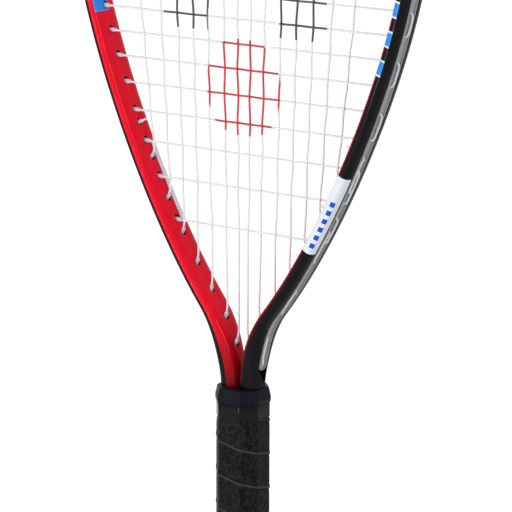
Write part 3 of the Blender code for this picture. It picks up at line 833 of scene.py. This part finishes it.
def makeCollar():
    low, top = handle["collarBase"], handle["collarHeight"]
    edgeOut, edgeDown = collar["holeEdge"]
    power = collar["holeRoundness"]
    rings = []
    for turn in handleTurns + handleTurns[:1]:
        c, s = math.cos(turn), math.sin(turn)
        ring = [handlePoint(turn, swell * mm, low + height * mm) for height, swell in collar["steps"]]
        reach = ((abs(c) / collar["holeX"]) ** power + (abs(s) / collar["holeY"]) ** power) ** (-1 / power)
        for height, spread in ((top, edgeOut), (top - edgeDown, 0.0), (0.0, 0.0)):
            ring.append(Vector((c * (reach + spread), s * (reach + spread), low + height)))
        rings.append(ring)
    return sweepRings("gripCollar", rings, handle["smooth"])


# butt cap: heights in mm with, at its foot, the distance in mm short of the flare, at its neck the share of
# the flare, and at its top the swell in mm
buttCap = {
    "foot": [(0.0, 1.6), (0.25, 0.9), (0.8, 0.3), (1.6, 0.05), (2.6, 0.0), (6.4, 0.0)],
    "neck": [(8.0, 0.94), (11.0, 0.76), (15.0, 0.46), (18.5, 0.22)],
    "top": [(20.5, 0.42), (21.5, 0.35)],
    "wall": 1.5 * mm,
    "floor": 3.0 * mm,
    "footInset": 9.0 * mm,
    "cordHole": 3.25 * mm,
    "cut": (-1 * mm, 4 * mm),
    "holeSides": 32,
}


def makeCap():
    top, flare = handle["capHeight"], handle["capFlare"]
    outer = [(height * mm, flare - short * mm) for height, short in buttCap["foot"]]
    outer += [(height * mm, flare * share) for height, share in buttCap["neck"]]
    outer += [(height * mm, swell * mm) for height, swell in buttCap["top"]]
    outer += [(top - 0.3 * mm, 0.35 * mm), (top, 0.05 * mm)]
    inner = [(top, -buttCap["wall"]), (buttCap["floor"], -buttCap["wall"])]
    rings = []
    for height, swell in [(0.0, flare - buttCap["footInset"])] + outer + inner:
        rings.append([handlePoint(turn, swell, height) for turn in handleTurns])
    cap = sweepRings("buttCap", rings, handle["smooth"])
    low, high = buttCap["cut"]
    head, shank = screw["head"] + fitGap, screw["shank"] + fitGap
    seat = screw["headHeight"] + 2 * fitGap
    seatSteps = [(low, head), (seat, head), (seat + 0.01 * mm, shank), (high, shank)]
    holes = [(0, [(low, buttCap["cordHole"]), (high, buttCap["cordHole"])])]
    holes += [(side * screw["offset"], seatSteps) for side in (-1, 1)]
    cutters = [turnProfile("capCutter", steps, up, Vector((0, offset, 0)), buttCap["holeSides"])
               for offset, steps in holes]
    cutWith(cap, joinPieces(cutters, "capCutters"), use_self=True)
    return cap


# screws: a domed head with a cross recess over a threaded shank
screw = {
    "offset": 9.4 * mm,
    "head": 2.3 * mm,
    "headHeight": 1.4 * mm,
    "shank": 1.2 * mm,
    "length": 12.0 * mm,
    "pitch": 0.8 * mm,
    "dome": [(0.0, 0.55), (0.08, 0.8), (0.3, 0.95), (0.6, 1.0)],  # height in mm, share of the head
    "rootShare": 0.8,
    "threadTop": (0.35, 0.5),  # of the pitch
    "plain": (0.6 * mm, 1.6 * mm),  # under the head, and at the tip
    "tip": (1.2 * mm, 0.4 * mm),
    "recess": (2.6 * mm, 0.6 * mm, 0.8 * mm),
    "recessOverrun": 0.05 * mm,
    "sides": 24,
}


def makeScrew(name, side):
    head, shank, low, pitch = screw["head"], screw["shank"], fitGap, screw["pitch"]
    root = shank * screw["rootShare"]
    seat, end = low + screw["headHeight"], screw["length"]
    profile = [(low + height * mm, head * share) for height, share in screw["dome"]]
    profile += [(seat - 0.1 * mm, head), (seat, head * 0.96), (seat + 0.01 * mm, root)]
    plainTop, plainTip = screw["plain"]
    height = seat + plainTop
    while height < end - plainTip:
        profile.append((height, root))
        profile += [(height + pitch * share, shank) for share in screw["threadTop"]]
        height += pitch
    tipLength, tipRadius = screw["tip"]
    profile += [(end - tipLength, root), (end, tipRadius)]
    offset = side * screw["offset"]
    piece = turnProfile(name, profile, up, Vector((0, offset, 0)), screw["sides"], 30 * deg)
    long, wide, deep = screw["recess"]
    middle = low + deep / 2 - screw["recessOverrun"]
    for size in ((long, wide, deep), (wide, long, deep)):
        deselectAll()
        bpy.ops.mesh.primitive_cube_add(size=1, location=(0, offset, middle))
        cutter = bpy.context.active_object
        cutter.scale = size
        bpy.ops.object.transform_apply(location=True, rotation=False, scale=True)
        cutWith(piece, cutter)
    return piece


# materials: a node tree with short ways to add to it
class Graph:
    def __init__(self, tree):
        self.tree = tree

    def new(self, kind, **settings):
        node = self.tree.nodes.new("ShaderNode" + kind)
        for key, value in settings.items():
            setattr(node, key, value)
        return node

    # a value goes on the socket itself, and an output is linked to it
    def feed(self, node, values):
        for key, value in values.items():
            if isinstance(value, (int, float)):
                node.inputs[key].default_value = value
            elif isinstance(value, tuple):
                node.inputs[key].default_value = (*value, 1.0)
            else:
                self.tree.links.new(value, node.inputs[key])
        return node.outputs

    def calc(self, operation, first, second=0.0):
        return self.feed(self.new("Math", operation=operation), {0: first, 1: second})[0]

    def mix(self, factor, first, second, kind="RGBA"):
        node = self.new("Mix", data_type=kind)
        return self.feed(node, {"Factor": factor, "A": first, "B": second})["Result"]

    def mapRange(self, value, low, high, kind="LINEAR"):
        node = self.new("MapRange", interpolation_type=kind)
        return self.feed(node, {"Value": value, "From Min": low, "From Max": high})["Result"]

    def band(self, value, low, high):
        above = self.calc("GREATER_THAN", value, low)
        return self.calc("MULTIPLY", above, self.calc("LESS_THAN", value, high))

    def split(self, vector):
        parts = self.feed(self.new("SeparateXYZ"), {"Vector": vector})
        return [parts[axis] for axis in "XYZ"]

    def noise(self, place, scale, detail=4):
        return self.feed(self.new("TexNoise"), {"Vector": place, "Scale": scale, "Detail": detail})["Fac"]


class Finish(Graph):
    def __init__(self, name, colour, roughness, gloss=0.5, metallic=0.0):
        self.material = bpy.data.materials.new(name)
        self.material.use_nodes = True
        super().__init__(self.material.node_tree)
        self.set({"Base Color": colour, "Roughness": roughness, "Specular IOR Level": gloss,
                  "Metallic": metallic})
        self.place = self.new("TexCoord").outputs["Object"]

    def set(self, values):
        self.feed(self.tree.nodes["Principled BSDF"], values)

    # a swept piece's own map: along it, and round its section
    def sweptPlace(self):
        return self.split(self.new("UVMap").outputs["UV"])[:2]

    def bump(self, scale, distance, strength=0.3):
        height = self.noise(self.place, scale, 3)
        values = {"Strength": strength, "Distance": distance, "Height": height}
        self.set({"Normal": self.feed(self.new("Bump"), values)["Normal"]})


# lacquer: the inner half is red and the outer half black, with blank white labels and plain blue bars
# spans run along the tube from its foot, and arcs round it from outside (0) over its face to inside (180);
# the face is the front on the right half and the back on the left half
lacquer = {
    "red": ((0.77, 0.003, 0.019), (0.86, 0.007, 0.029)),
    "redPatches": 25,
    # painted shade: a dark red laid over the right half's red, from its edge inwards
    "paintedShadeRed": (0.17, 0.004, 0.010),
    "darkRed": (0.12, 0.0, 0.003),
    "black": (0.004, 0.004, 0.005),
    "white": (0.80, 0.84, 0.90),
    "blue": (0.01, 0.10, 0.62),
    "brightBlue": (0.03, 0.28, 0.85),
    "roughness": 0.3,
    "gloss": 0.02,
    "coat": {"Coat Weight": 0.12, "Coat Roughness": 0.06},
    "edgeOfRed": 99 * deg,
    # painted shade: on the right half near the throat the black reaches this far in, over red that lies in
    # shade there
    "throatShadeEdge": 125 * deg,  # of the red, at the foot of the right half
    # where the painted shade on the right half's red ends
    "paintedShadeEnd": 165 * deg,
    "fade": (166 * mm, 224 * mm),  # heights between which the throat's dark red turns bright
    "labelSpan": (270 * mm, 321 * mm),
    "labelArc": (22 * deg, 165 * deg),
    "barSpan": (274 * mm, 308 * mm),
    "barArc": (50 * deg, 84 * deg),
    "barCount": 6,
    "barShare": 0.55,
    "stripeSpan": (384 * mm, 452 * mm),
    "stripeArc": (82 * deg, 118 * deg),
    "sideSpan": (402 * mm, 470 * mm),  # on the side away from the face
    "sideArc": (124 * deg, 188 * deg),
    "stripePitch": 17 * mm,
    "stripeWhite": 0.56,
    "stripeBlue": (0.06, 0.5),
}


def shareRound(angle):
    channel, start = frameTube["channelSteps"], frameTube["skinStart"]
    front, inside = frameTube["stepsToFront"], frameTube["stepsToInside"]
    if angle <= 90 * deg:
        step = channel + front * (angle - start) / (90 * deg - start)
    else:
        step = channel + front + inside * (angle - 90 * deg) / (90 * deg)
    return step / (2 * (channel + front + inside))


# red of the inner half: dark at the throat and, on the right half, darkened towards its edge as painted
# shade
def innerRed(look, face, onRight, rise):
    red = look.mix(look.noise(look.place, lacquer["redPatches"]), *lacquer["red"])
    red = look.mix(rise, lacquer["darkRed"], red)
    shade = look.mapRange(face, shareRound(lacquer["edgeOfRed"]), shareRound(lacquer["paintedShadeEnd"]))
    shade = look.calc("MAXIMUM", shade, look.calc("SUBTRACT", 1.0, onRight))
    return look.mix(shade, lacquer["paintedShadeRed"], red)


def framePaint():
    look = Finish("frameLacquer", lacquer["red"][0], lacquer["roughness"], lacquer["gloss"])
    look.set(lacquer["coat"])
    along, around = look.sweptPlace()
    onRight = look.calc("LESS_THAN", along, 0.5)
    fromCrown = look.calc("ABSOLUTE", look.calc("SUBTRACT", along, 0.5))
    metres = look.calc("MULTIPLY", look.calc("SUBTRACT", 0.5, fromCrown), 2 * halfLength)
    face = look.mix(onRight, look.calc("SUBTRACT", 1.0, around), around, "FLOAT")
    back = look.calc("SUBTRACT", 1.0, face)

    rise = look.mapRange(look.split(look.place)[2], *lacquer["fade"], "SMOOTHSTEP")
    edge, throatShadeEdge = shareRound(lacquer["edgeOfRed"]), shareRound(lacquer["throatShadeEdge"])
    # painted shade: near the throat the right half's red begins further in, so black stands where the red
    # lies in shade
    shadeNarrowed = look.calc("MULTIPLY", look.calc("SUBTRACT", 1.0, rise), onRight)
    edge = look.calc("ADD", look.calc("MULTIPLY", shadeNarrowed, throatShadeEdge - edge), edge)
    inner = look.band(face, edge, 1 - shareRound(90 * deg))
    paint = look.mix(inner, lacquer["black"], innerRed(look, face, onRight, rise))

    def printed(span, arc, side):
        return look.calc("MULTIPLY", look.band(metres, *span), look.band(side, *map(shareRound, arc)))

    def phaseOf(begin, pitch):
        return look.calc("FRACT", look.calc("DIVIDE", look.calc("SUBTRACT", metres, begin), pitch))

    paint = look.mix(printed(lacquer["labelSpan"], lacquer["labelArc"], face), paint, lacquer["white"])
    low, high = lacquer["barSpan"]
    phase = phaseOf(low, (high - low) / lacquer["barCount"])
    bars = look.calc("MULTIPLY", printed(lacquer["barSpan"], lacquer["barArc"], face),
                     look.calc("LESS_THAN", phase, lacquer["barShare"]))
    paint = look.mix(bars, paint, lacquer["blue"])
    stripes = look.calc("MAXIMUM", printed(lacquer["stripeSpan"], lacquer["stripeArc"], face),
                        printed(lacquer["sideSpan"], lacquer["sideArc"], back))
    phase = phaseOf(lacquer["stripeSpan"][0], lacquer["stripePitch"])
    edges = look.calc("MULTIPLY", stripes, look.calc("LESS_THAN", phase, lacquer["stripeWhite"]))
    paint = look.mix(edges, paint, lacquer["white"])
    bars = look.calc("MULTIPLY", stripes, look.band(phase, *lacquer["stripeBlue"]))
    look.set({"Base Color": look.mix(bars, paint, lacquer["brightBlue"])})
    return look.material


# nylon with a stencilled oval and two bars in ink
ink = {
    "nylon": (0.79, 0.80, 0.83),
    "roughness": 0.35,
    "bump": (1800, 0.02 * mm, 0.2),
    "red": (0.60, 0.015, 0.02),
    "black": (0.03, 0.03, 0.035),
    "ovalHeight": 350 * mm,
    "ovalHalf": (25.5 * mm, 27.5 * mm),
    "ovalPower": 2.6,
    "barHeights": (380.5 * mm, 412 * mm),
    "barReach": (25 * mm, 57 * mm),
}


def stringNylon():
    look = Finish("stringNylon", ink["nylon"], ink["roughness"])
    look.bump(*ink["bump"])
    x, z = look.split(look.place)[::2]
    aside = look.calc("ABSOLUTE", x)
    rise = look.calc("ABSOLUTE", look.calc("SUBTRACT", z, ink["ovalHeight"]))
    shares = [look.calc("POWER", look.calc("DIVIDE", value, half), ink["ovalPower"])
              for value, half in zip((aside, rise), ink["ovalHalf"])]
    oval = look.calc("LESS_THAN", look.calc("ADD", *shares), 1.0)
    bars = look.calc("MULTIPLY", look.band(z, *ink["barHeights"]), look.band(aside, *ink["barReach"]))
    colour = look.mix(oval, ink["nylon"], ink["red"])
    look.set({"Base Color": look.mix(bars, colour, ink["black"])})
    return look.material


# rubber of the ribbon: mottled, and paler along its lapped edge as a painted highlight where the ridge
# catches the light
rubber = {
    "dark": (0.003, 0.003, 0.003),
    "pale": (0.016, 0.016, 0.016),
    "paintedSheen": (0.04, 0.04, 0.042),
    "roughness": 0.5,
    "gloss": 0.05,
    "bump": (1200, 0.1 * mm),
    "paintedSheenColumns": (1.5, 4.5),  # of the points across the ribbon
    "grainScale": 500,
    "grainRange": (0.40, 0.62),
}


def wrapRubber():
    look = Finish("ribbonRubber", rubber["dark"], rubber["roughness"], rubber["gloss"])
    look.bump(*rubber["bump"])
    grain = look.mapRange(look.noise(look.place, rubber["grainScale"]), *rubber["grainRange"])
    face = look.mix(grain, rubber["dark"], rubber["pale"])
    # painted highlight: these columns across the ribbon get a paler colour
    low, high = (column / len(wrap["shape"]) for column in rubber["paintedSheenColumns"])
    paintedSheen = look.band(look.sweptPlace()[1], low, high)
    look.set({"Base Color": look.mix(paintedSheen, face, rubber["paintedSheen"])})
    return look.material


# plain finishes: colour, roughness, bump scale and depth, gloss, patchiness, metal
finishes = {
    # the strip and its barrels are one grey plastic: the strip's colour is darker as painted shade, and the
    # barrels' is paler to offset the shade inside the hoop
    "stripShadedGrey": ((0.33, 0.33, 0.35), 0.42, 900, 0.05 * mm, 0.3, 0.08, 0.0),
    "barrelLitGrey": ((0.60, 0.58, 0.62), 0.40, 900, 0.05 * mm, 0.3, 0.05, 0.0),
    "guardBlack": ((0.008, 0.008, 0.009), 0.45, 900, 0.05 * mm, 0.15, 0.2, 0.0),
    "tapeVinyl": ((0.002, 0.002, 0.003), 0.18, 300, 0.1 * mm, 0.12, 0.3, 0.0),
    "collarRubber": ((0.005, 0.006, 0.011), 0.42, 800, 0.1 * mm, 0.06, 0.3, 0.0),
    "capPlastic": ((0.006, 0.006, 0.007), 0.35, 900, 0.05 * mm, 0.15, 0.2, 0.0),
    "palletPlastic": ((0.03, 0.03, 0.032), 0.5, 700, 0.08 * mm, 0.3, 0.2, 0.0),
    "screwSteel": ((0.56, 0.56, 0.58), 0.28, 1500, 0.02 * mm, 0.5, 0.05, 1.0),
}


def plainMaterial(name):
    colour, roughness, bumpScale, bumpDepth, gloss, patchy, metallic = finishes[name]
    look = Finish(name, colour, roughness, gloss, metallic)
    look.bump(bumpScale, bumpDepth)
    darker, lighter = (tuple(value * share for value in colour) for share in (1 - patchy, 1 + patchy))
    look.set({"Base Color": look.mix(look.noise(look.place, bumpScale / 6), darker, lighter)})
    return look.material


# studio: pale floor, soft lamps and the camera
studio = {
    "azimuth": 36.485 * deg,
    "elevation": 12.789 * deg,
    "roll": 0.226 * deg,
    "target": Vector((9.0 * mm, -0.12 * mm, 254.07 * mm)),
    "distance": 1630.9 * mm,
    "lens": 201.62,
    "sensor": 36,
    "floorSize": 16,
    "floorPaper": ((0.86, 0.86, 0.87), 0.9, 0.1),  # colour, roughness, gloss
    "floorGlow": 0.64,
    "worldFront": 0.15,
    "worldBack": 0.75,
    "lampAim": Vector((0, 0, 0.3)),
    # name, place, width and height, watts
    "lamps": [("keyLamp", (-0.45, -1.3, 0.39), (0.14, 0.76), 7),
              ("topLamp", (0.3, -1.7, 1.6), (1.4, 1.0), 8),
              ("rightLamp", (1.8, -0.5, 0.9), (0.5, 1.0), 9),
              ("gripLamp", (-0.32, -1.6, 0.14), (0.05, 0.4), 2.2)],
}


def placeCamera():
    turn, tilt, roll = studio["azimuth"], studio["elevation"], studio["roll"]
    towards = Vector((math.sin(turn) * math.cos(tilt), -math.cos(turn) * math.cos(tilt), math.sin(tilt)))
    right = Vector((math.cos(turn), math.sin(turn), 0))
    above = towards.cross(right)
    aside = right * math.cos(roll) + above * math.sin(roll)
    upright = above * math.cos(roll) - right * math.sin(roll)
    bpy.ops.object.camera_add()
    camera = nameNewest("photoCamera")
    camera.data.lens = studio["lens"]
    camera.data.sensor_width = studio["sensor"]
    place = Matrix((aside, upright, towards)).transposed().to_4x4()
    place.translation = studio["target"] + towards * studio["distance"]
    camera.matrix_world = place
    camera.data.clip_end = 20
    bpy.context.scene.camera = camera


def addLamp(name, place, size, power):
    bpy.ops.object.light_add(type="AREA", location=place)
    lamp = nameNewest(name)
    lamp.visible_camera = False
    lamp.data.shape = "RECTANGLE"
    lamp.data.size, lamp.data.size_y = size
    lamp.data.energy = power
    aim = studio["lampAim"] - Vector(place)
    lamp.rotation_euler = aim.to_track_quat("-Z", "Y").to_euler()


# what the camera, gloss and clear things see of the background is plain white
def seenDirectly(look):
    path = look.new("LightPath").outputs
    seen = look.calc("MAXIMUM", path["Is Camera Ray"], path["Is Transmission Ray"])
    return look.calc("MAXIMUM", seen, path["Is Glossy Ray"])


def makeFloor():
    deselectAll()
    bpy.ops.mesh.primitive_plane_add(size=studio["floorSize"], location=(0, 0, 0))
    floor = nameNewest("studioFloor")
    look = Finish("floorPaper", *studio["floorPaper"])
    glow = look.calc("MULTIPLY", seenDirectly(look), studio["floorGlow"])
    look.set({"Emission Color": (1, 1, 1), "Emission Strength": glow})
    floor.data.materials.append(look.material)


# the world lights the racket less from the front than from behind
def makeWorld():
    world = bpy.context.scene.world or bpy.data.worlds.new("studioWorld")
    bpy.context.scene.world = world
    world.use_nodes = True
    look = Graph(world.node_tree)
    backward = look.split(look.new("TexCoord").outputs["Generated"])[1]
    behind = look.calc("ADD", look.calc("MULTIPLY", backward, 0.5), 0.5)
    low, high = studio["worldFront"], studio["worldBack"]
    around = look.calc("ADD", look.calc("MULTIPLY", behind, high - low), low)
    strength = look.mix(seenDirectly(look), around, 1.0, "FLOAT")
    look.feed(world.node_tree.nodes["Background"], {"Color": (1, 1, 1), "Strength": strength})


placeCamera()
makeFloor()
makeWorld()
for lamp in studio["lamps"]:
    addLamp(*lamp)
bpy.context.scene.view_settings.view_transform = "Standard"
print("studio placed")

mains, crosses = makeMains(), makeCrosses()
ties = makeTies(crosses)
allHoles = [hole for pair in mains + crosses for hole in pair] + list(ties.values())
tube = makeFrameTube(allHoles)
print("frame tube made", len(tube.data.polygons))
plain = {name: plainMaterial(name) for name in finishes}
stripFinishes = plain["stripShadedGrey"], plain["barrelLitGrey"]
guardFinishes = plain["guardBlack"], plain["guardBlack"]
leftStrip, rightStrip, guard = makeStrips(allHoles, crosses, stripFinishes, guardFinishes)
print("strips and guard made")
mainString, crossString = makeStrings(mains, crosses, ties)
print("strings made", len(mainString.data.polygons), len(crossString.data.polygons))
ribbon, tape, collarRing, cap = makeWrap(), makeTape(), makeCollar(), makeCap()
frontScrew, backScrew = makeScrew("frontScrew", -1), makeScrew("backScrew", 1)
print("handle made")

nylon = stringNylon()
dress(tube, "frame", framePaint())
dress(leftStrip, "left_grommet_strip")
dress(rightStrip, "right_grommet_strip")
dress(guard, "bumper_guard")
dress(mainString, "main_string", nylon)
dress(crossString, "cross_string", nylon)
dress(ribbon, "grip_wrap", wrapRubber())
dress(tape, "finishing_tape", plain["tapeVinyl"])
dress(collarRing, "grip_collar", plain["collarRubber"])
dress(cap, "butt_cap", plain["capPlastic"])
dress(frontScrew, "front_cap_screw", plain["screwSteel"])
dress(backScrew, "back_cap_screw", plain["screwSteel"])
for node in ("front_pallet", "back_pallet"):
    for slot in bpy.data.objects[node].material_slots:
        slot.material = plain["palletPlastic"]
print("pieces dressed")
